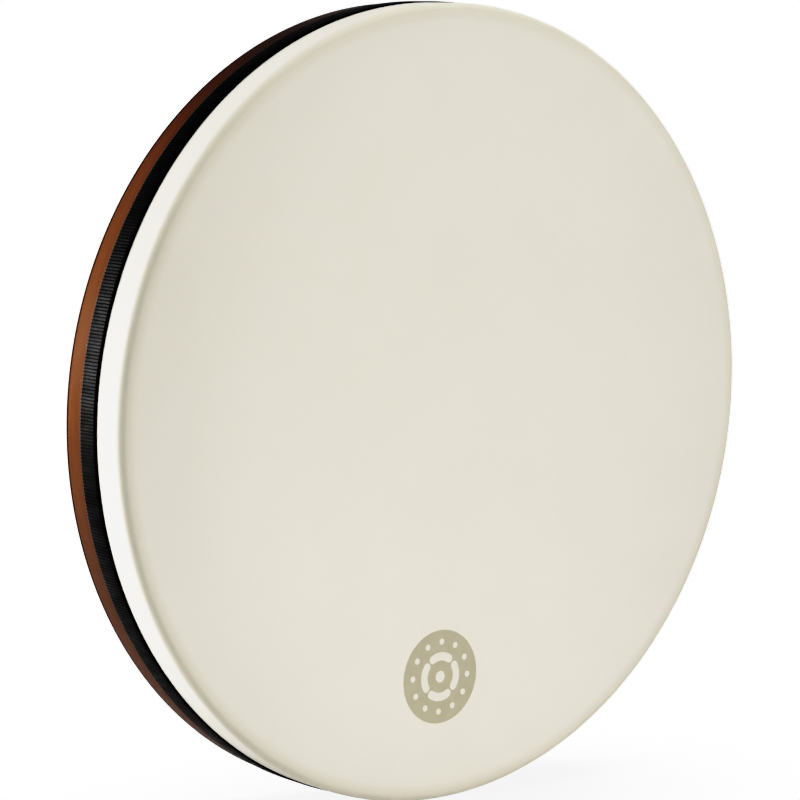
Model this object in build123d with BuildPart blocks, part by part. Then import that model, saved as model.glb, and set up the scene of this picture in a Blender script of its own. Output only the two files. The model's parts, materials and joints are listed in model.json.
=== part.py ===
"""Frame drum: a bent plywood hoop, a fixed drumhead, and a woven ribbon over the head's cut edge.

The drum stands upright like a wheel. Its axis is the Y axis, the head faces -Y, the back is open towards +Y,
and +Z is up. The origin is the middle of the hoop. All lengths are in millimetres.
"""

from build123d import *

import math
import os

# Hoop
HOOP_DIAMETER = 558.8
HOOP_DEPTH = 63.5
PLY_COUNT = 7
PLY_THICKNESS = 1.5
BEARING_ROUND = 5.0
BEARING_SLOPE = 4.0
BEARING_CHAMFER = 1.0
BACK_ROUND = 1.2
SEAM_GAP = 0.2
FIRST_SEAM_ANGLE = 270.0
SEAM_STAGGER = 150.0

# Drumhead
FILM_THICKNESS = 0.35
SKIRT_DEPTH = 41.0

# Staples through the skirt
STAPLE_COUNT = 36
STAPLE_CROWN_WIDTH = 10.0
STAPLE_WIRE_THICKNESS = 0.45
STAPLE_WIRE_WIDTH = 0.9
STAPLE_LEG_LENGTH = 5.4
STAPLE_DEPTH = 36.0

# Ribbon, measured back from the drum's face
RIBBON_FRONT_DEPTH = 26.4
RIBBON_WIDTH = 19.0
RIBBON_OVER_FILM = 1.0
RIBBON_EDGE_ROUND = 0.4
RIBBON_SEAM_GAP = 0.3

# Printed roundel on the head
PRINT_RADIUS = 33.4
PRINT_HEIGHT = -191.0
PRINT_THICKNESS = 0.08
ARC_COUNT = 4
ARC_RADIUS = 14.5
ARC_WIDTH = 6.0
ARC_SWEEP = 62.0
DOT_COUNT = 12
DOT_RING_RADIUS = 25.0
DOT_RADIUS = 2.2
CENTRE_DOT_RADIUS = 4.2

HOOP_RADIUS = HOOP_DIAMETER / 2
WALL = PLY_COUNT * PLY_THICKNESS
DRUM_DEPTH = HOOP_DEPTH + FILM_THICKNESS
FACE_Y = -DRUM_DEPTH / 2
BACK_Y = DRUM_DEPTH / 2
BEARING_Y = FACE_Y + FILM_THICKNESS
PEAK_RADIUS = HOOP_RADIUS - WALL + BEARING_CHAMFER
BEARING_FALL = (HOOP_RADIUS - PEAK_RADIUS) * math.tan(math.radians(BEARING_SLOPE))
SKIRT_END_Y = FACE_Y + SKIRT_DEPTH
SKIRT_RADIUS = HOOP_RADIUS + FILM_THICKNESS
RIBBON_RADIUS = SKIRT_RADIUS + RIBBON_OVER_FILM
STAPLE_Y = FACE_Y + STAPLE_DEPTH


def radial_plane(angle):
    """Plane that holds the drum's axis as its Y direction, with X outward at this angle from +X towards +Z."""
    return Plane.XY.rotated((0, -angle, 0))


def arc_angle(length, radius):
    """Angle in degrees of a short arc."""
    return math.degrees(length / radius)


def finish(builder, label):
    """Labels a finished piece and writes it as its own STEP file."""
    builder.part.label = label
    export_step(builder.part, f"parts/{label}.step")


# Section of everything that the head encloses, radius along X and the drum's axis along Y. The bearing edge
# peaks near the wall's inner side, slopes gently outward and then turns down the side.
with BuildSketch(Plane.XY) as enclosed_section:
    with BuildLine():
        Polyline(
            (0, BEARING_Y),
            (PEAK_RADIUS, BEARING_Y),
            (HOOP_RADIUS, BEARING_Y + BEARING_FALL),
            (HOOP_RADIUS, BACK_Y),
            (0, BACK_Y),
            close=True,
        )
    make_face()
    bearing_corner = enclosed_section.vertices().group_by(Axis.X)[-1].sort_by(Axis.Y)[0]
    fillet(bearing_corner, radius=BEARING_ROUND)

# Section of the hoop's wall. The front inner corner is chamfered, and the back corners are eased for the hands.
with BuildSketch(Plane.XY) as wall_section:
    add(enclosed_section.sketch)
    with Locations((HOOP_RADIUS, 0)):
        Rectangle(WALL, DRUM_DEPTH, align=(Align.MAX, Align.CENTER), mode=Mode.INTERSECT)
    chamfer(wall_section.vertices().group_by(Axis.X)[0].sort_by(Axis.Y)[0], length=BEARING_CHAMFER)
    fillet(wall_section.vertices().group_by(Axis.Y)[-1], radius=BACK_ROUND)

# Section of the film: the flat head, the turn over the bearing edge and the skirt down the side.
with BuildSketch(Plane.XY) as film_section:
    add(enclosed_section.sketch)
    offset(amount=FILM_THICKNESS, kind=Kind.INTERSECTION)
    add(enclosed_section.sketch, mode=Mode.SUBTRACT)
    with Locations((0, FACE_Y)):
        Rectangle(SKIRT_RADIUS, SKIRT_DEPTH, align=(Align.MIN, Align.MIN), mode=Mode.INTERSECT)

# Section of the ribbon: it lies on the skirt and, past the skirt's cut edge, on the wood.
with BuildSketch(Plane.XY) as ribbon_section:
    with Locations((HOOP_RADIUS, FACE_Y + RIBBON_FRONT_DEPTH)):
        Rectangle(RIBBON_RADIUS - HOOP_RADIUS, RIBBON_WIDTH, align=(Align.MIN, Align.MIN))
    fillet(ribbon_section.vertices().group_by(Axis.X)[-1], radius=RIBBON_EDGE_ROUND)
    add(film_section.sketch, mode=Mode.SUBTRACT)

# Ring of crown staples. Each crown lies on the skirt along the hoop, and its two legs go into the plies.
leg_offset = (STAPLE_CROWN_WIDTH - STAPLE_WIRE_THICKNESS) / 2
with BuildPart(Plane.XZ.offset(-STAPLE_Y)) as staples:
    with PolarLocations(SKIRT_RADIUS, STAPLE_COUNT):
        Box(
            STAPLE_WIRE_THICKNESS,
            STAPLE_CROWN_WIDTH,
            STAPLE_WIRE_WIDTH,
            align=(Align.MIN, Align.CENTER, Align.CENTER),
        )
        with Locations((0, -leg_offset), (0, leg_offset)):
            Box(
                STAPLE_LEG_LENGTH,
                STAPLE_WIRE_THICKNESS,
                STAPLE_WIRE_WIDTH,
                align=(Align.MAX, Align.CENTER, Align.CENTER),
            )


def hoop_ply(number):
    """One bent ply, counted from the outside: a strip of the wall with its two ends butted at a seam."""
    outer_radius = HOOP_RADIUS - (number - 1) * PLY_THICKNESS
    seam_angle = FIRST_SEAM_ANGLE + (number - 1) * SEAM_STAGGER
    seam_arc = arc_angle(SEAM_GAP, outer_radius)
    with BuildPart() as ply:
        with BuildSketch(radial_plane(seam_angle - seam_arc / 2)):
            add(wall_section.sketch)
            with Locations((outer_radius, 0)):
                Rectangle(
                    PLY_THICKNESS,
                    DRUM_DEPTH,
                    align=(Align.MAX, Align.CENTER),
                    mode=Mode.INTERSECT,
                )
        revolve(axis=Axis.Y, revolution_arc=360 - seam_arc)
        add(staples.part, mode=Mode.SUBTRACT)
    return ply


with BuildPart() as drumhead:
    with BuildSketch(Plane.XY):
        add(film_section.sketch)
    revolve(axis=Axis.Y)
    add(staples.part, mode=Mode.SUBTRACT)

ribbon_seam_arc = arc_angle(RIBBON_SEAM_GAP, RIBBON_RADIUS)
with BuildPart() as ribbon:
    with BuildSketch(radial_plane(FIRST_SEAM_ANGLE - ribbon_seam_arc / 2)):
        add(ribbon_section.sketch)
    revolve(axis=Axis.Y, revolution_arc=360 - ribbon_seam_arc)
    add(staples.part, mode=Mode.SUBTRACT)

# Ink layer on the head: a disc with a ring of arcs, a ring of dots and a centre dot left open.
with BuildPart() as head_print:
    with BuildSketch(Plane.XZ.offset(-FACE_Y)):
        with Locations((0, PRINT_HEIGHT)):
            Circle(PRINT_RADIUS)
            Circle(CENTRE_DOT_RADIUS, mode=Mode.SUBTRACT)
            with PolarLocations(DOT_RING_RADIUS, DOT_COUNT):
                Circle(DOT_RADIUS, mode=Mode.SUBTRACT)
            for arc in range(ARC_COUNT):
                start = 360 / ARC_COUNT * arc - ARC_SWEEP / 2
                with BuildLine(mode=Mode.PRIVATE) as centre_line:
                    CenterArc((0, 0), ARC_RADIUS, start, ARC_SWEEP)
                SlotArc(centre_line.edge(), ARC_WIDTH, mode=Mode.SUBTRACT)
    extrude(amount=PRINT_THICKNESS)

os.makedirs("parts", exist_ok=True)
ply_suffixes = {1: "_outer", PLY_COUNT: "_inner"}
for number in range(1, PLY_COUNT + 1):
    finish(hoop_ply(number), f"hoop_ply_{number}{ply_suffixes.get(number, '')}")
finish(drumhead, "drumhead")
finish(staples, "head_staples")
finish(ribbon, "trim_ribbon")
finish(head_print, "head_print")
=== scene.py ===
"""Frame drum: its looks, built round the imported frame.

The drum stands upright like a wheel. Its axis is Y, the head faces -Y, the back is open towards +Y, and +Z
is up. Lengths are in metres and angles in radians, unless a name says otherwise.
"""

import json
import math

import bpy
import numpy as np
from mathutils import Matrix, Vector

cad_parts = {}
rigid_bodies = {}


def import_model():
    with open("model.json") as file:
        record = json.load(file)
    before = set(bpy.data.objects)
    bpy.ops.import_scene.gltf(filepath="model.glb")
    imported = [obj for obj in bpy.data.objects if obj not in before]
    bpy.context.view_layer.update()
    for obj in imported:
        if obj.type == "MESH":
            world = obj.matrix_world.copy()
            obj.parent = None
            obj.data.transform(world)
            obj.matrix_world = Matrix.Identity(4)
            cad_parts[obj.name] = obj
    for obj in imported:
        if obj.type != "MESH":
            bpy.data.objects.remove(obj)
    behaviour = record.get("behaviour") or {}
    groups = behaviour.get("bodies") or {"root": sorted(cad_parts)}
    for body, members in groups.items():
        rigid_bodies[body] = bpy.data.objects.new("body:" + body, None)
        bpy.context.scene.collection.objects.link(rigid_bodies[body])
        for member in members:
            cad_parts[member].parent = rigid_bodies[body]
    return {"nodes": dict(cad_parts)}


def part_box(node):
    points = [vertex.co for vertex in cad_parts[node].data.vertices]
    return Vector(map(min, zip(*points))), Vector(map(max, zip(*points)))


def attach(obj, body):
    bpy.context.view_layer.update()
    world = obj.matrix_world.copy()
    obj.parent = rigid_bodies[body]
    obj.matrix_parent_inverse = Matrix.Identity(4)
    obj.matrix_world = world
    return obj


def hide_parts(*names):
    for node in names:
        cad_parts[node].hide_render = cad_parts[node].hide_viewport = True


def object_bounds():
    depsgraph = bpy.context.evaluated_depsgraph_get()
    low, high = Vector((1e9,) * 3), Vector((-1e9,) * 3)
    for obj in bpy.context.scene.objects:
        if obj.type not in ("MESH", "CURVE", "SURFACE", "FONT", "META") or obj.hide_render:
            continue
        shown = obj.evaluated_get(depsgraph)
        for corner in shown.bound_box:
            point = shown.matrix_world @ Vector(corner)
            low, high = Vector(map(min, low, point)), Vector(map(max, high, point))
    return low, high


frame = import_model()
cad_low, cad_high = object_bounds()

MM = 0.001
TAU = 2 * math.pi

# Stage
WHITE = 1.5  # scene brightness that the camera records as pure white
CONTACT_SHADE = 0.35  # brightness that the white floor loses right under the drum
SHADE_REACH = 0.25  # how far from the drum the floor is shaded
FLOOR_HALF = 12.0
SENSOR_WIDTH = 36.0  # millimetres, as Blender's cameras take it
FOCAL_LENGTH = 137.04  # millimetres
ROOM_LIGHT_LOW = 0.45  # light that the room gives the drum from the horizon
ROOM_LIGHT_HIGH = 0.04  # the same from overhead
ROOM_TOP = 0.6  # upward part of a direction from which the room is as dark as overhead


# ---------------------------------------------------------------- sizes taken from the frame


def radius_of(node):
    """Largest distance of a round node from the drum's axis, along X or Z."""
    low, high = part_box(node)
    return max(high.x, high.z, -low.x, -low.z)


PLY_NODES = sorted(name for name in frame["nodes"] if name.startswith("hoop_ply_"))
HOOP_RADIUS = radius_of(PLY_NODES[0])
PLY_THICKNESS = (HOOP_RADIUS - radius_of(PLY_NODES[-1])) / (len(PLY_NODES) - 1)
INNER_RADIUS = HOOP_RADIUS - len(PLY_NODES) * PLY_THICKNESS
FACE_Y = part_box("drumhead")[0].y
SKIRT_END_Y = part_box("drumhead")[1].y
SKIRT_RADIUS = radius_of("drumhead")
FILM_THICKNESS = SKIRT_RADIUS - HOOP_RADIUS
BEARING_Y = FACE_Y + FILM_THICKNESS
BACK_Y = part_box(PLY_NODES[-1])[1].y
RIBBON_FRONT_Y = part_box("trim_ribbon")[0].y
RIBBON_BACK_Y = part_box("trim_ribbon")[1].y
RIBBON_RADIUS = radius_of("trim_ribbon")

# Details of the wall and the film
BEARING_ROUND = 5.0 * MM
LAND_TILT = math.radians(8)
BEARING_CHAMFER = 1.0 * MM
BACK_ROUND = 1.2 * MM
FILM_CLEARANCE = 0.03 * MM
SEAM_GAP = 0.2 * MM
FIRST_SEAM = math.radians(270)
SEAM_STAGGER = math.radians(150)
HOOP_COLUMNS = 720

# Details of the ribbon
RIBBON_SEAM_GAP = 0.3 * MM
RIB_PITCH = 2.28 * MM
RIB_DEPTH = 0.16 * MM
RIB_FULLNESS = 0.35  # power of the rib's outline: a smaller one gives a flatter crest and a narrower groove
RIB_COUNT = 2 * round(TAU * RIBBON_RADIUS / RIB_PITCH / 2)
RIB_SAMPLES = 6
SELVEDGE_WIDTH = 0.9 * MM
SELVEDGE_ROUND = 0.35 * MM
LOOP_REACH = 0.12 * MM
THREAD_PITCH = 0.34 * MM

# The bearing edge peaks near the wall's inner side, bends outward over a narrow land and turns down the side.
PEAK_RADIUS = INNER_RADIUS + BEARING_CHAMFER
TURN_RADIUS = HOOP_RADIUS - BEARING_ROUND
LAND_EDGE = TURN_RADIUS + BEARING_ROUND * math.sin(LAND_TILT)
LAND_FALL = (LAND_EDGE - PEAK_RADIUS) * math.tan(LAND_TILT) / 2
TURN_Y = BEARING_Y + LAND_FALL + BEARING_ROUND * math.cos(LAND_TILT)


# ---------------------------------------------------------------- meshes


def make_object(name, vertices, faces, sharp_degrees=35):
    """A shown piece from plain mesh data, smooth except where two faces meet at more than sharp_degrees."""
    mesh = bpy.data.meshes.new(name)
    mesh.from_pydata(vertices, [], faces)
    mesh.polygons.foreach_set("use_smooth", np.ones(len(mesh.polygons), dtype=bool))
    mesh.set_sharp_from_angle(angle=math.radians(sharp_degrees))
    mesh.update()
    piece = bpy.data.objects.new(name, mesh)
    bpy.context.scene.collection.objects.link(piece)
    return piece


def ring_points(radii, depths, angles):
    """Points of loops carried round the axis: row i of radii and depths is the loop at angles[i]."""
    cosines = np.cos(angles)[:, None]
    sines = np.sin(angles)[:, None]
    return np.stack([radii * cosines, np.broadcast_to(depths, radii.shape), radii * sines], axis=-1)


def ring_quads(columns, points, joined, looped):
    """Faces between neighbouring loops. joined closes the ring round the axis, looped closes each loop."""
    column = np.arange(columns if joined else columns - 1)[:, None]
    point = np.arange(points if looped else points - 1)[None, :]
    after = (column + 1) % columns
    above = (point + 1) % points
    corners = [
        column * points + point,
        column * points + above,
        after * points + above,
        after * points + point,
    ]
    return np.stack(corners, axis=-1).reshape(-1, 4)


def strip(name, radii, depths, angles):
    """A bent strip with two closed ends. Loops run anticlockwise with the radius to the right and Y up."""
    columns, points = radii.shape
    vertices = ring_points(radii, depths, angles).reshape(-1, 3)
    faces = ring_quads(columns, points, joined=False, looped=True).tolist()
    faces.append(list(range(points))[::-1])
    faces.append(list(range((columns - 1) * points, columns * points)))
    return make_object(name, vertices.tolist(), faces)


def seamed_angles(seam, gap, radius, count):
    """Angles of a strip's columns, from one side of its seam round to the other."""
    half_gap = gap / radius / 2
    return np.linspace(seam + half_gap, seam + TAU - half_gap, count)


def bearing_y(radius):
    """Front edge of the wall: inner chamfer, land, and the turn down the side."""
    if radius <= PEAK_RADIUS:
        return BEARING_Y + PEAK_RADIUS - radius
    if radius <= LAND_EDGE:
        return BEARING_Y + LAND_FALL * ((radius - PEAK_RADIUS) / (LAND_EDGE - PEAK_RADIUS)) ** 2
    return TURN_Y - math.sqrt(max(0.0, BEARING_ROUND**2 - (radius - TURN_RADIUS) ** 2))


def rim_y(radius):
    """Back edge of the wall: flat, with both corners eased."""
    from_side = min(HOOP_RADIUS - radius, radius - INNER_RADIUS)
    into_round = max(0.0, BACK_ROUND - from_side)
    return BACK_Y - BACK_ROUND + math.sqrt(max(0.0, BACK_ROUND**2 - into_round**2))


def ply_loop(inner, outer, edge_points=14):
    """Section of one ply of the wall as (radius, y) points."""
    middle = (inner + outer) / 2
    half = (outer - inner) / 2
    across = [middle - half * math.cos(math.pi * i / edge_points) for i in range(edge_points + 1)]
    front = [(radius, bearing_y(radius)) for radius in across]
    back = [(radius, rim_y(radius)) for radius in reversed(across)]
    return np.array(front + back)


def build_ply(index, node):
    """One bent ply of the hoop, with its butt seam."""
    outer = HOOP_RADIUS - index * PLY_THICKNESS
    loop = ply_loop(outer - PLY_THICKNESS, outer)
    seam = FIRST_SEAM + index * SEAM_STAGGER
    angles = seamed_angles(seam, SEAM_GAP, outer, HOOP_COLUMNS + 1)
    radii = np.tile(loop[:, 0], (len(angles), 1))
    piece = strip(node.replace("hoop_", "bent_"), radii, loop[:, 1], angles)
    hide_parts(node)
    return piece, seam


def head_outline(height, flat_rings, land_steps, turn_steps, skirt_rings):
    """Half section of one side of the head, at this height over the wood, from the middle outward."""
    points = [(PEAK_RADIUS * i / flat_rings, BEARING_Y - height) for i in range(1, flat_rings + 1)]
    for step in range(1, land_steps):
        radius = PEAK_RADIUS + (LAND_EDGE - PEAK_RADIUS) * step / land_steps
        tilt = math.atan(math.tan(LAND_TILT) * step / land_steps)
        points.append((radius + height * math.sin(tilt), bearing_y(radius) - height * math.cos(tilt)))
    for step in range(turn_steps + 1):
        tilt = LAND_TILT + (math.pi / 2 - LAND_TILT) * step / turn_steps
        reach = BEARING_ROUND + height
        points.append((TURN_RADIUS + reach * math.sin(tilt), TURN_Y - reach * math.cos(tilt)))
    for ring in range(1, skirt_rings + 1):
        points.append((HOOP_RADIUS + height, TURN_Y + (SKIRT_END_Y - TURN_Y) * ring / skirt_rings))
    return points


def build_head():
    """The film: flat face, turn over the bearing edge, skirt, and the same again on its inner side."""
    steps = {"flat_rings": 16, "land_steps": 6, "turn_steps": 18, "skirt_rings": 8}
    outer = head_outline(FILM_THICKNESS, **steps)
    inner = head_outline(FILM_CLEARANCE, **steps)
    profile = np.array(outer + inner[::-1])
    angles = np.linspace(0, TAU, HOOP_COLUMNS, endpoint=False)
    points = len(profile)
    radii = np.tile(profile[:, 0], (HOOP_COLUMNS, 1))
    vertices = ring_points(radii, profile[:, 1], angles).reshape(-1, 3).tolist()
    faces = ring_quads(HOOP_COLUMNS, points, joined=True, looped=False).tolist()
    front_pole = len(vertices)
    vertices += [(0, FACE_Y, 0), (0, BEARING_Y - FILM_CLEARANCE, 0)]
    for column in range(HOOP_COLUMNS):
        here = column * points
        there = (column + 1) % HOOP_COLUMNS * points
        faces.append((front_pole, here, there))
        faces.append((here + points - 1, front_pole + 1, there + points - 1))
    head = make_object("head_film", vertices, faces)
    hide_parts("drumhead")
    return head


def build_ribbon():
    """Grosgrain ribbon: rounded ribs across its width, turned yarn loops along both edges."""
    width = RIBBON_BACK_Y - RIBBON_FRONT_Y
    thickness = RIBBON_RADIUS - SKIRT_RADIUS
    columns = RIB_COUNT * RIB_SAMPLES + 1
    angles = seamed_angles(FIRST_SEAM, RIBBON_SEAM_GAP, RIBBON_RADIUS, columns)
    phase = np.arange(columns) / RIB_SAMPLES
    crest = np.abs(np.sin(math.pi * phase)) ** RIB_FULLNESS
    # Outer side: distance from the edge, height lost at the corner, share of the rib's depth
    near = [
        (0.0, thickness * 0.55, 0.0),
        (0.05 * MM, SELVEDGE_ROUND, 0.3),
        (SELVEDGE_ROUND * 0.4, SELVEDGE_ROUND * 0.35, 0.8),
        (SELVEDGE_ROUND, 0.0, 1.0),
        (SELVEDGE_WIDTH, 0.0, 1.15),
        (SELVEDGE_WIDTH + 0.25 * MM, 0.10 * MM, 1.0),
        (SELVEDGE_WIDTH + 0.6 * MM, 0.0, 1.0),
    ]
    far = [(width - across, lost, share) for across, lost, share in reversed(near)]
    radii = []
    depths = []
    for across, lost, share in near + [(width / 2, 0.0, 1.0)] + far:
        radii.append(RIBBON_RADIUS - lost - RIB_DEPTH * share * (1 - crest))
        nearness = max(0.0, 1 - min(across, width - across) / SELVEDGE_ROUND)
        side = 1 if across < width / 2 else -1
        depths.append(RIBBON_FRONT_Y + across + side * LOOP_REACH * nearness * (1 - crest))
    under = [
        (HOOP_RADIUS + FILM_CLEARANCE, RIBBON_BACK_Y - LOOP_REACH),
        (HOOP_RADIUS + FILM_CLEARANCE, SKIRT_END_Y + FILM_CLEARANCE),
        (SKIRT_RADIUS + FILM_CLEARANCE, SKIRT_END_Y + FILM_CLEARANCE),
        (SKIRT_RADIUS + FILM_CLEARANCE, RIBBON_FRONT_Y + LOOP_REACH),
    ]
    for radius, y in under:
        radii.append(np.full(columns, radius))
        depths.append(np.full(columns, y))
    piece = strip("grosgrain_ribbon", np.stack(radii, axis=1), np.stack(depths, axis=1), angles)
    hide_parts("trim_ribbon")
    return piece


# ---------------------------------------------------------------- materials


class Shade:
    """Short calls for building one material's nodes."""

    def __init__(self, name):
        self.material = bpy.data.materials.new(name)
        self.material.use_nodes = True
        self.tree = self.material.node_tree
        self.tree.nodes.clear()

    def node(self, kind, inputs=(), **settings):
        """Adds a node. inputs maps a socket's name or number to a value or to another node's output."""
        made = self.tree.nodes.new(kind)
        for key, value in settings.items():
            setattr(made, key, value)
        for key, value in dict(inputs).items():
            if isinstance(value, bpy.types.NodeSocket):
                self.tree.links.new(value, made.inputs[key])
            else:
                made.inputs[key].default_value = value
        return made

    def math(self, operation, *values):
        """Output of a Math node."""
        return self.node("ShaderNodeMath", dict(enumerate(values)), operation=operation).outputs[0]

    def ramp(self, value, low, high, to_low=0.0, to_high=1.0):
        """Output that runs smoothly from to_low to to_high as value runs from low to high."""
        inputs = {"Value": value, "From Min": low, "From Max": high, "To Min": to_low, "To Max": to_high}
        return self.node("ShaderNodeMapRange", inputs, interpolation_type="SMOOTHSTEP").outputs[0]

    def noise(self, vector, scale, detail=3.0, roughness=0.5):
        """Output of a Noise Texture, about 0 to 1."""
        inputs = {"Vector": vector, "Scale": scale, "Detail": detail, "Roughness": roughness}
        return self.node("ShaderNodeTexNoise", inputs).outputs[0]

    def mix(self, share, first, second):
        """Colour between first and second."""
        made = self.node("ShaderNodeMix", {0: share, 6: first, 7: second}, data_type="RGBA")
        return made.outputs[2]

    def bump(self, height, distance, strength=1.0):
        """Normal from a height."""
        inputs = {"Height": height, "Distance": distance, "Strength": strength}
        return self.node("ShaderNodeBump", inputs).outputs[0]

    def output(self, surface):
        """Ends the tree and gives the material."""
        self.node("ShaderNodeOutputMaterial", {"Surface": surface})
        return self.material

    def round_place(self, seam=FIRST_SEAM):
        """Arc length round the hoop from opposite the seam, Y, and distance from the axis, in metres."""
        place = self.node("ShaderNodeTexCoord").outputs["Object"]
        x, y, z = self.node("ShaderNodeSeparateXYZ", {0: place}).outputs
        away_x, away_z = -math.cos(seam), -math.sin(seam)
        ahead = self.math("ADD", self.math("MULTIPLY", x, away_x), self.math("MULTIPLY", z, away_z))
        across = self.math("SUBTRACT", self.math("MULTIPLY", z, away_x), self.math("MULTIPLY", x, away_z))
        arc = self.math("MULTIPLY", self.math("ARCTAN2", across, ahead), HOOP_RADIUS)
        radius = self.math("SQRT", self.math("ADD", self.math("MULTIPLY", x, x), self.math("MULTIPLY", z, z)))
        return arc, y, radius

    def stretched(self, arc, y, radius, arc_scale, y_scale, radius_scale):
        """Vector for a pattern with its own scale round, along and through the hoop, in repeats per metre."""
        parts = [
            self.math("MULTIPLY", arc, arc_scale),
            self.math("MULTIPLY", y, y_scale),
            self.math("MULTIPLY", radius, radius_scale),
        ]
        return self.node("ShaderNodeCombineXYZ", dict(enumerate(parts))).outputs[0]


def grey(value):
    """Neutral colour."""
    return (value, value, value, 1.0)


def darker(colour, share):
    """An opaque colour with this share of another's brightness."""
    return tuple(part * share for part in colour) + (1.0,)


def wood_material(name, seam, dark, mid, light, lacquer):
    """Bent veneer: grain runs round the hoop, with short pores and a stain that sinks in unevenly."""
    shade = Shade(name)
    arc, y, radius = shade.round_place(seam)
    broad = shade.noise(shade.stretched(arc, y, radius, 3.0, 190, 300), 1.0, 3.0)
    fibres = shade.noise(shade.stretched(arc, y, radius, 22, 1500, 1500), 1.0, 4.0, 0.6)
    pores = shade.noise(shade.stretched(arc, y, radius, 110, 3600, 3600), 1.0, 2.0)
    patches = shade.noise(shade.stretched(arc, y, radius, 16, 26, 26), 1.0, 2.0)
    stain = shade.mix(shade.ramp(broad, 0.34, 0.64), (*dark, 1.0), (*mid, 1.0))
    stain = shade.mix(shade.ramp(fibres, 0.35, 0.72, 0.0, 0.75), stain, (*light, 1.0))
    stain = shade.mix(shade.ramp(patches, 0.40, 0.70, 0.0, 0.35), stain, (*dark, 1.0))
    stain = shade.mix(shade.ramp(pores, 0.60, 0.74, 0.0, 0.6), stain, darker(dark, 0.4))
    # Painted shade: a dark band along the outer face's eased back corner, where that corner turns away from
    # the light. The gloss is lowered there too.
    back_edge = shade.ramp(y, BACK_Y - 3.4 * MM, BACK_Y - 2.5 * MM, 0.0, 0.92)
    on_side = shade.ramp(radius, HOOP_RADIUS - 1.5 * MM, HOOP_RADIUS - 0.6 * MM)
    painted_edge_shade = shade.math("MULTIPLY", back_edge, on_side)
    stain = shade.mix(painted_edge_shade, stain, darker(dark, 0.15))
    height = shade.math("SUBTRACT", fibres, shade.ramp(pores, 0.60, 0.74, 0.0, 0.8))
    normal = shade.bump(height, 0.03 * MM, 0.6)
    surface = shade.node(
        "ShaderNodeBsdfPrincipled",
        {
            "Base Color": stain,
            "Roughness": shade.ramp(fibres, 0.2, 0.8, 0.34, 0.44),
            "Specular IOR Level": shade.ramp(painted_edge_shade, 0.0, 1.0, lacquer, lacquer * 0.2),
            "Specular Tint": (1.0, 0.62, 0.42, 1.0),
            "Normal": normal,
        },
    )
    return shade.output(surface.outputs[0])


def film_material():
    """Warm white translucent film, a little cloudy, with painted shade over the bearing edge, a darker
    painted line before its turn, and a side of its own colour.
    """
    shade = Shade("head_film")
    place = shade.node("ShaderNodeTexCoord").outputs["Object"]
    _, y, radius = shade.round_place()
    clouds = shade.noise(place, 14.0, 4.0, 0.55)
    flecks = shade.noise(place, 900.0, 2.0)
    face = shade.mix(shade.ramp(clouds, 0.3, 0.7), (0.806, 0.768, 0.672, 1.0), (0.820, 0.782, 0.687, 1.0))
    face = shade.mix(shade.ramp(flecks, 0.35, 0.65, 0.0, 0.25), face, (0.84, 0.815, 0.73, 1.0))
    on_side = shade.ramp(y, FACE_Y + 1.5 * MM, FACE_Y + BEARING_ROUND + 1 * MM)
    # Painted shade: the film is darkened and browned over the wood of the bearing edge, in place of the light
    # that the wood keeps from shining through it.
    painted_shade_over_wood = shade.ramp(radius, INNER_RADIUS - 3 * MM, PEAK_RADIUS + 5 * MM, 0.0, 0.52)
    face = shade.mix(painted_shade_over_wood, face, (0.72, 0.675, 0.54, 1.0))
    # Painted shade: a darker, browner line just inside the turn, where the film crosses the crown of the
    # bearing edge.
    painted_crease_shade = shade.ramp(radius, LAND_EDGE - 1.5 * MM, LAND_EDGE + 1.5 * MM, 0.0, 0.35)
    face = shade.mix(painted_crease_shade, face, (0.60, 0.565, 0.43, 1.0))
    # The side has its own colour. It is free of the painted shade over the wood, and it is a little less warm
    # as a painted stand-in for the whitening of its bright light.
    colour = shade.mix(on_side, face, (0.80, 0.762, 0.680, 1.0))
    normal = shade.bump(flecks, 0.02 * MM, 0.35)
    front = shade.node(
        "ShaderNodeBsdfPrincipled",
        {"Base Color": colour, "Roughness": 0.55, "Specular IOR Level": 0.35, "Normal": normal},
    )
    through = shade.node("ShaderNodeBsdfTranslucent", {"Color": colour, "Normal": normal})
    both = shade.node("ShaderNodeMixShader", {0: 0.25, 1: front.outputs[0], 2: through.outputs[0]})
    return shade.output(both.outputs[0])


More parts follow.
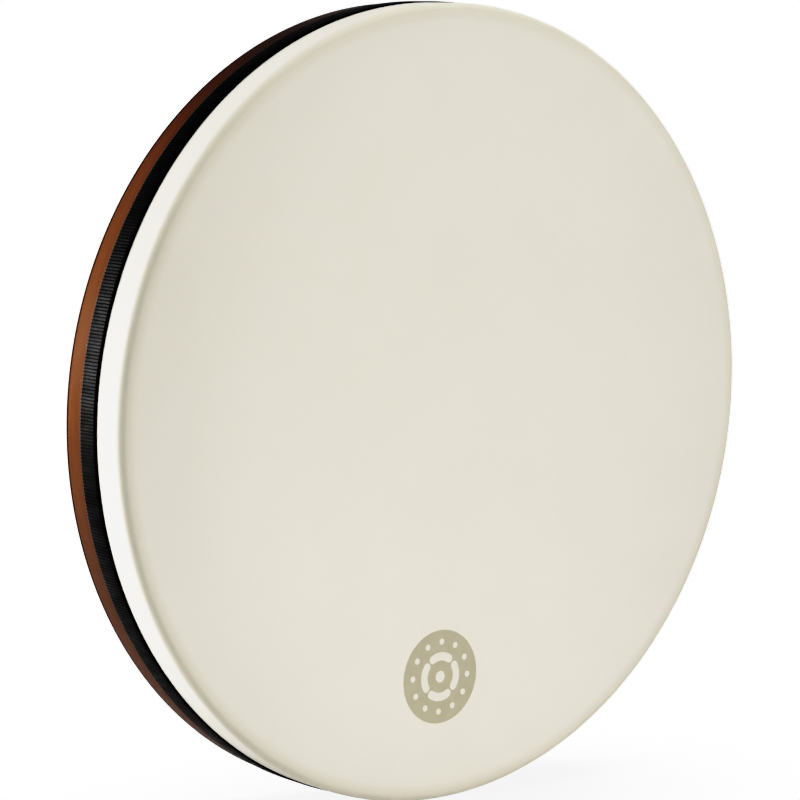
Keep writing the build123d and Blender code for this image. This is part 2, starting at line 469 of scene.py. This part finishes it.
def ribbon_material():
    """Black satin yarn: fine threads over the ribs, a flat selvedge in front, and painted highlights on the
    loose loops behind.
    """
    shade = Shade("ribbon_weave")
    arc, y, radius = shade.round_place()
    threads = shade.math("SINE", shade.math("MULTIPLY", y, TAU / THREAD_PITCH))
    slubs = shade.noise(shade.stretched(arc, y, radius, 160, 900, 0), 1.0, 3.0)
    uneven = shade.noise(shade.stretched(arc, y, radius, 110, 30, 0), 1.0, 2.0)
    colour = shade.mix(shade.ramp(slubs, 0.3, 0.7), grey(0.0016), (0.0030, 0.0031, 0.0032, 1.0))
    colour = shade.mix(shade.ramp(uneven, 0.4, 0.7, 0.0, 0.5), colour, (0.0042, 0.0040, 0.0040, 1.0))
    ribs = shade.math("COSINE", shade.math("MULTIPLY", arc, RIB_COUNT / HOOP_RADIUS))
    crest = shade.ramp(ribs, -0.2, 0.9, 1.0, 0.3)
    # Painted highlight: pale glints on the yarn loops along the back edge, at each rib's crest, where the
    # loops catch the light.
    edge = shade.ramp(y, RIBBON_BACK_Y - 1.5 * MM, RIBBON_BACK_Y - 0.9 * MM)
    loops = shade.math("MULTIPLY", edge, crest)
    colour = shade.mix(loops, colour, (0.110, 0.095, 0.088, 1.0))
    body = shade.ramp(y, RIBBON_FRONT_Y + 2.4 * MM, RIBBON_FRONT_Y + 3.4 * MM)
    lustre = shade.ramp(uneven, 0.3, 0.7, 0.06, 0.12)
    lustre = shade.math("MULTIPLY", lustre, shade.math("MULTIPLY", body, crest))
    height = shade.math("ADD", shade.math("MULTIPLY", threads, 0.5), slubs)
    surface = shade.node(
        "ShaderNodeBsdfPrincipled",
        {
            "Base Color": colour,
            "Roughness": shade.ramp(slubs, 0.3, 0.7, 0.36, 0.46),
            "Specular IOR Level": lustre,
            "Normal": shade.bump(height, 0.03 * MM, 0.5),
        },
    )
    return shade.output(surface.outputs[0])


def ink_material():
    """Screen-printed khaki ink with a faint mottle and a finely ragged density."""
    shade = Shade("print_ink")
    place = shade.node("ShaderNodeTexCoord").outputs["Object"]
    mottle = shade.noise(place, 120.0, 4.0, 0.6)
    grain = shade.noise(place, 2200.0, 2.0)
    colour = shade.mix(shade.ramp(mottle, 0.3, 0.7), (0.472, 0.430, 0.282, 1.0), (0.508, 0.466, 0.312, 1.0))
    colour = shade.mix(shade.ramp(grain, 0.4, 0.7, 0.0, 0.3), colour, (0.56, 0.52, 0.37, 1.0))
    surface = shade.node(
        "ShaderNodeBsdfPrincipled",
        {
            "Base Color": colour,
            "Roughness": shade.ramp(grain, 0.3, 0.7, 0.5, 0.62),
            "Specular IOR Level": 0.4,
            "Normal": shade.bump(grain, 0.01 * MM, 0.3),
        },
    )
    return shade.output(surface.outputs[0])


def wire_material():
    """Galvanised flat wire with a fine spangle."""
    shade = Shade("staple_wire")
    place = shade.node("ShaderNodeTexCoord").outputs["Object"]
    spangle = shade.noise(place, 900.0, 3.0)
    surface = shade.node(
        "ShaderNodeBsdfPrincipled",
        {
            "Base Color": shade.mix(spangle, grey(0.42), grey(0.62)),
            "Metallic": 1.0,
            "Roughness": shade.ramp(spangle, 0.3, 0.7, 0.28, 0.45),
        },
    )
    return shade.output(surface.outputs[0])


def floor_material():
    """Pale studio floor that the camera sees white, but for a soft shadow where something stands on it."""
    shade = Shade("studio_floor")
    matt = shade.node("ShaderNodeBsdfDiffuse", {"Color": grey(0.80)})
    open_sky = shade.node("ShaderNodeAmbientOcclusion", {"Distance": SHADE_REACH}, samples=16).outputs["AO"]
    strength = shade.ramp(open_sky, 0.0, 1.0, WHITE - CONTACT_SHADE, WHITE)
    glow = shade.node("ShaderNodeEmission", {"Color": grey(1.0), "Strength": strength})
    seen = shade.node("ShaderNodeLightPath").outputs["Is Camera Ray"]
    floor = shade.node("ShaderNodeMixShader", {0: seen, 1: matt.outputs[0], 2: glow.outputs[0]})
    return shade.output(floor.outputs[0])


# ---------------------------------------------------------------- pieces


def dress(piece, material):
    """Gives a new piece its material and its body."""
    piece.data.materials.append(material)
    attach(piece, "root")


def dress_cad(node, material):
    """Gives a kept CAD node a better material."""
    for slot in frame["nodes"][node].material_slots:
        slot.link = "OBJECT"
        slot.material = material


def build_hoop():
    """All plies. The outer and inner faces are stained, and the plies between them differ by turns."""
    stain = ((0.040, 0.0127, 0.0048), (0.052, 0.0172, 0.0068), (0.067, 0.0232, 0.0098))
    pale_core = ((0.085, 0.036, 0.016), (0.12, 0.056, 0.027), (0.15, 0.075, 0.04))
    dark_core = tuple(tuple(part * 0.6 for part in colour) for colour in pale_core)
    for index, node in enumerate(PLY_NODES):
        piece, seam = build_ply(index, node)
        shown = index in (0, len(PLY_NODES) - 1)
        colours = stain if shown else (pale_core, dark_core)[index % 2]
        material = wood_material(piece.name, seam, *colours, lacquer=0.11 if index == 0 else 0.2)
        dress(piece, material)


build_hoop()
dress(build_head(), film_material())
dress(build_ribbon(), ribbon_material())
dress_cad("head_print", ink_material())
dress_cad("head_staples", wire_material())


# ---------------------------------------------------------------- floor, light and camera


def build_floor():
    """A pale floor that touches the bottom of the drum."""
    corners = [(-1, -1), (1, -1), (1, 1), (-1, 1)]
    vertices = [(x * FLOOR_HALF, y * FLOOR_HALF, cad_low.z) for x, y in corners]
    floor = make_object("studio_floor", vertices, [(0, 1, 2, 3)])
    floor.data.materials.append(floor_material())


def build_room():
    """White surroundings for the camera, and a dim room for the drum, brighter round the horizon."""
    world = bpy.data.worlds.new("studio")
    bpy.context.scene.world = world
    world.use_nodes = True
    tree = world.node_tree
    tree.nodes.clear()
    direction = tree.nodes.new("ShaderNodeTexCoord")
    parts = tree.nodes.new("ShaderNodeSeparateXYZ")
    fade = tree.nodes.new("ShaderNodeMapRange")
    fade.inputs["From Max"].default_value = ROOM_TOP
    fade.inputs["To Min"].default_value = ROOM_LIGHT_LOW
    fade.inputs["To Max"].default_value = ROOM_LIGHT_HIGH
    room = tree.nodes.new("ShaderNodeBackground")
    tree.links.new(direction.outputs["Generated"], parts.inputs[0])
    tree.links.new(parts.outputs["Z"], fade.inputs["Value"])
    tree.links.new(fade.outputs[0], room.inputs["Strength"])
    backdrop = tree.nodes.new("ShaderNodeBackground")
    backdrop.inputs["Strength"].default_value = WHITE
    for background in (room, backdrop):
        background.inputs["Color"].default_value = grey(1.0)
    seen = tree.nodes.new("ShaderNodeLightPath")
    choose = tree.nodes.new("ShaderNodeMixShader")
    output = tree.nodes.new("ShaderNodeOutputWorld")
    tree.links.new(seen.outputs["Is Camera Ray"], choose.inputs[0])
    tree.links.new(room.outputs[0], choose.inputs[1])
    tree.links.new(backdrop.outputs[0], choose.inputs[2])
    tree.links.new(choose.outputs[0], output.inputs["Surface"])


def softbox(name, place, aim, size, power, mirrored=True, only=()):
    """A soft light that the camera doesn't see.

    mirrored shows it in gloss. only limits it to some pieces, as a photographer's flags would.
    """
    light = bpy.data.lights.new(name, "AREA")
    light.shape = "RECTANGLE"
    light.size, light.size_y = size
    light.energy = power
    lamp = bpy.data.objects.new(name, light)
    lamp.location = place
    lamp.rotation_mode = "QUATERNION"
    lamp.rotation_quaternion = (Vector(aim) - lamp.location).to_track_quat("-Z", "Y")
    lamp.visible_camera = False
    lamp.visible_glossy = mirrored
    bpy.context.scene.collection.objects.link(lamp)
    if only:
        lit = bpy.data.collections.new(name + "_lit")
        for piece in only:
            lit.objects.link(piece)
        lamp.light_linking.receiver_collection = lit


def build_light():
    """Softboxes on the left side of the hoop, on the head and round the whole drum."""
    plies = [piece for piece in bpy.data.objects if piece.name.startswith("bent_ply")]
    ribbon = [bpy.data.objects["grosgrain_ribbon"]]
    head = [bpy.data.objects["head_film"]]
    pale = head + [bpy.data.objects["studio_floor"]]
    middle = (0, 0, 0)

    # The wood and the ribbon at the left
    left_rim = (-HOOP_RADIUS, 0, 0.04)
    low_rim = (-0.17, 0.02, -0.222)
    softbox("key_hoop", (-0.45, 0.21, 0.08), left_rim, (0.08, 0.12), 4.7, mirrored=False, only=plies)
    softbox("low_hoop", (-0.27, 0.12, -0.262), low_rim, (0.10, 0.03), 0.24, mirrored=False, only=plies)
    softbox("ribbon_sheen", (-0.50, 0.27, 0.07), left_rim, (0.10, 0.24), 1.2, only=ribbon)

    # The head's side, from below round to the top, and the light that comes through the head
    softbox("key_collar", (-1.15, 0.52, -0.02), left_rim, (0.60, 0.80), 15, only=head)
    softbox("low_collar", (-0.64, 0.36, -0.248), (-0.16, 0, -0.23), (0.40, 0.06), 2.5, only=head)
    softbox("top_collar", (-0.35, -0.13, 0.85), (-0.10, 0, 0.25), (0.50, 0.12), 0.75, only=head)
    softbox("through_head", (-1.30, 1.50, 0.10), middle, (0.60, 0.60), 12, mirrored=False, only=head)

    # The whole drum
    softbox("fill_front", (2.2, -2.0, 1.0), middle, (1.4, 1.4), 3)
    softbox("side_right", (3.4, -1.0, 0.3), middle, (1.0, 1.0), 38)
    softbox("fill_low", (-0.1, -0.45, -0.24), (0, 0, -0.25), (0.80, 0.06), 0.66)
    softbox("top", (-0.3, -0.5, 1.7), middle, (1.2, 1.2), 8, mirrored=False)
    softbox("top_head", (0.1, -0.75, 1.65), middle, (1.2, 1.2), 25.5, mirrored=False, only=pale)
    softbox("rim_back_right", (1.6, 1.3, 0.9), middle, (1.2, 1.2), 25, mirrored=False)


def tone_curve():
    """Camera response: a short toe, straight middle tones and a shoulder up to WHITE."""
    settings = bpy.context.scene.view_settings
    settings.view_transform = "Standard"
    settings.use_curve_mapping = True
    mapping = settings.curve_mapping
    mapping.white_level = (WHITE, WHITE, WHITE)
    combined = 3  # the curve for all three colours together
    curve = mapping.curves[combined]
    response = (
        (0.01, 0.003),
        (0.03, 0.013),
        (0.06, 0.040),
        (0.10, 0.085),
        (0.20, 0.192),
        (0.40, 0.400),
        (0.75, 0.750),
        (0.95, 0.860),
        (1.15, 0.905),
        (1.35, 0.920),
    )
    for scene_light, recorded in response:
        curve.points.new(scene_light / WHITE, recorded)
    for point in curve.points:
        point.handle_type = "AUTO_CLAMPED"
    mapping.update()


def build_camera():
    """The photograph's viewpoint, given as an orbit about a point near the middle of the head."""
    azimuth, elevation, roll = math.radians(-39.68), math.radians(5.55), math.radians(2.66)
    distance = 2.1251
    left_of_head, above_head = 37.1 * MM, 4.8 * MM
    level_back = Vector((math.sin(azimuth), -math.cos(azimuth), 0.0))
    back = level_back * math.cos(elevation) + Vector((0.0, 0.0, math.sin(elevation)))
    level_right = Vector((math.cos(azimuth), math.sin(azimuth), 0.0))
    level_up = back.cross(level_right)
    right = level_right * math.cos(roll) + level_up * math.sin(roll)
    up = level_up * math.cos(roll) - level_right * math.sin(roll)
    camera = bpy.data.objects.new("camera", bpy.data.cameras.new("camera"))
    camera.data.sensor_width = SENSOR_WIDTH
    camera.data.lens = FOCAL_LENGTH
    camera.location = Vector((0, FACE_Y, 0)) + back * distance - right * left_of_head + up * above_head
    camera.rotation_mode = "QUATERNION"
    camera.rotation_quaternion = Matrix((right, up, back)).transposed().to_quaternion()
    bpy.context.scene.collection.objects.link(camera)
    bpy.context.scene.camera = camera


build_floor()
build_room()
build_light()
build_camera()
tone_curve()
